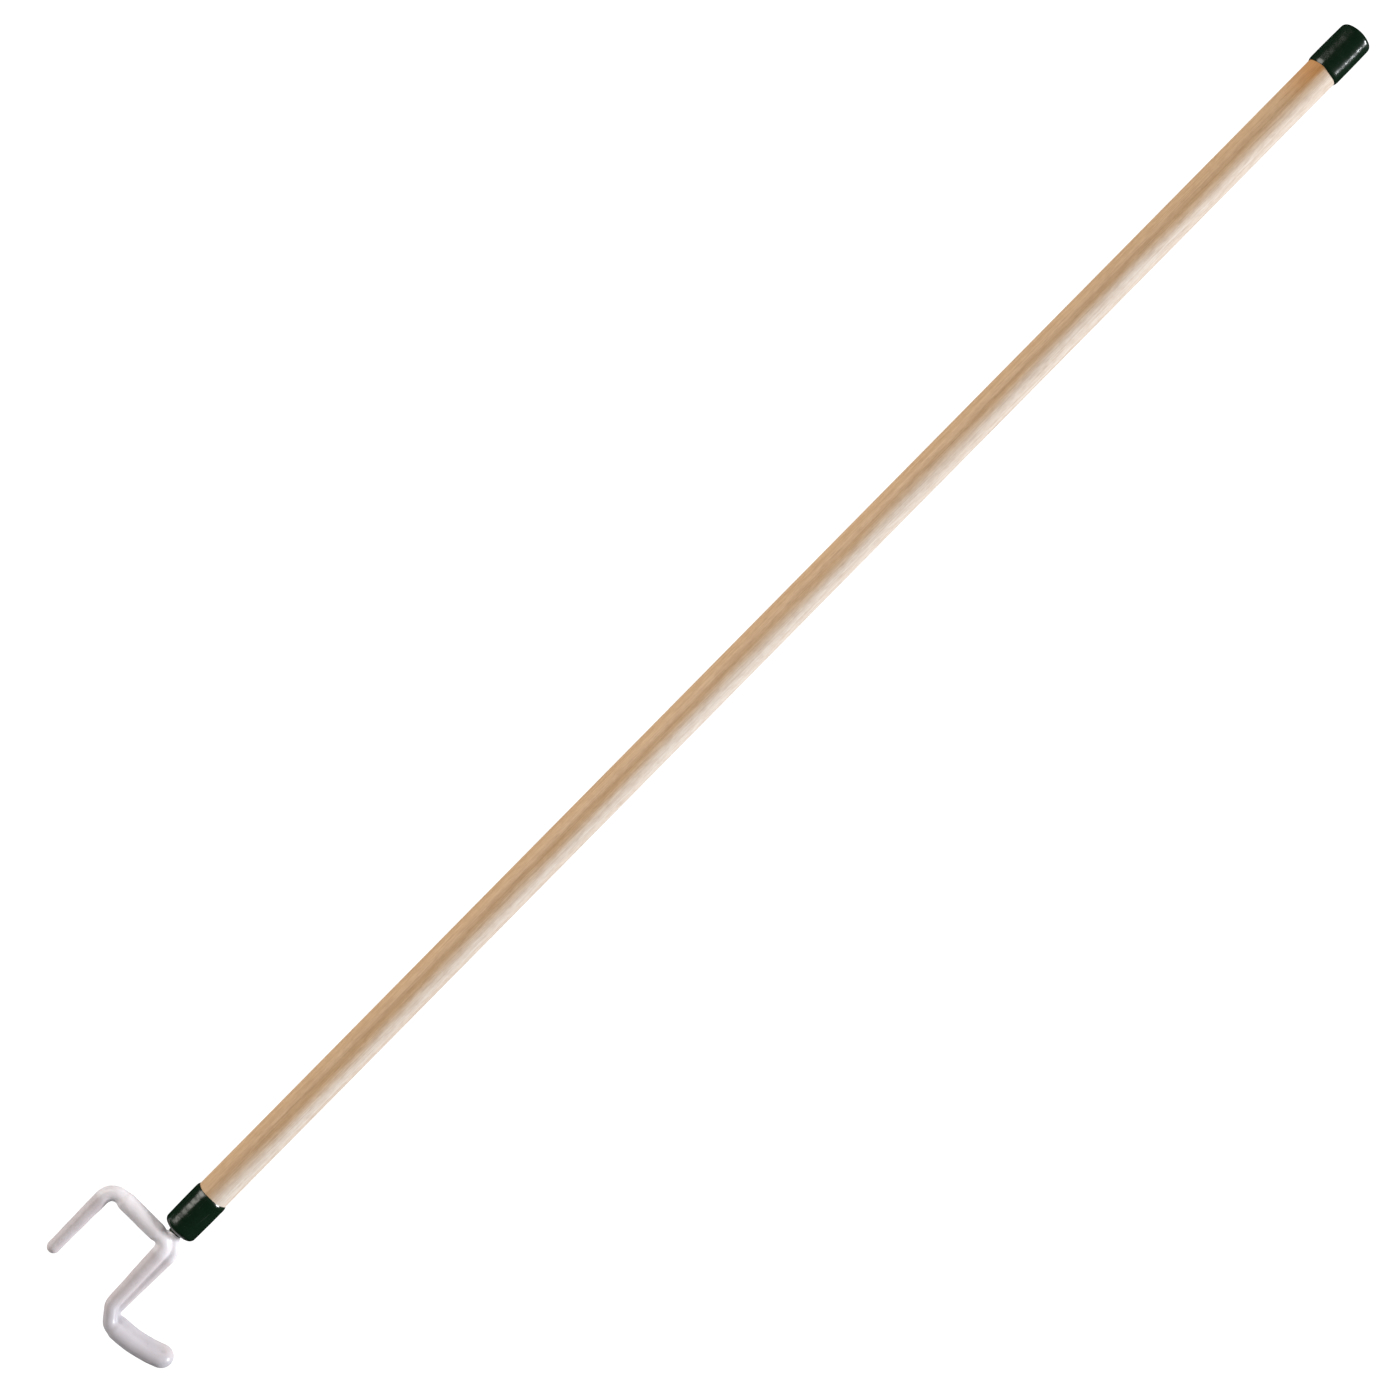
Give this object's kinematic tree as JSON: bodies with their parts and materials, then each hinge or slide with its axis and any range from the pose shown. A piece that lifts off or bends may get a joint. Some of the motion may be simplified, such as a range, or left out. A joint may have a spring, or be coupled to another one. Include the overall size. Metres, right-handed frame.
{
  "type": "dressing stick",
  "caption": "Wooden dowel with black vinyl caps and a push-pull hook of doubled wire dipped in white vinyl, for drawing clothes on and off at arm's length.",
  "frame": {"origin": "on the dowel's axis at the outer end of the tip cap", "axes": "+X along the dowel from the tip cap to the hook; +Z square to the flat of the hook, on the side where the bar crosses in front of the neck; +Y towards the curved arm"},
  "size_m": [0.6607, 0.0636, 0.0138],
  "materials": {
    "lacquered_wood": "straight-grained light hardwood under a thin satin lacquer",
    "black_vinyl": "glossy dipped vinyl, black with a slight green cast",
    "white_vinyl": "glossy dipped vinyl, white with a slight pink cast",
    "steel_wire": "drawn steel wire with a light zinc finish",
    "adhesive": "cured amber adhesive"
  },
  "bodies": {
    "root": {"wooden_dowel": "lacquered_wood", "tip_cap": "black_vinyl", "hook_end_cap": "black_vinyl", "hook_wire": "steel_wire", "hook_coating": "white_vinyl", "shank_adhesive": "adhesive"}
  },
  "joints": []
}
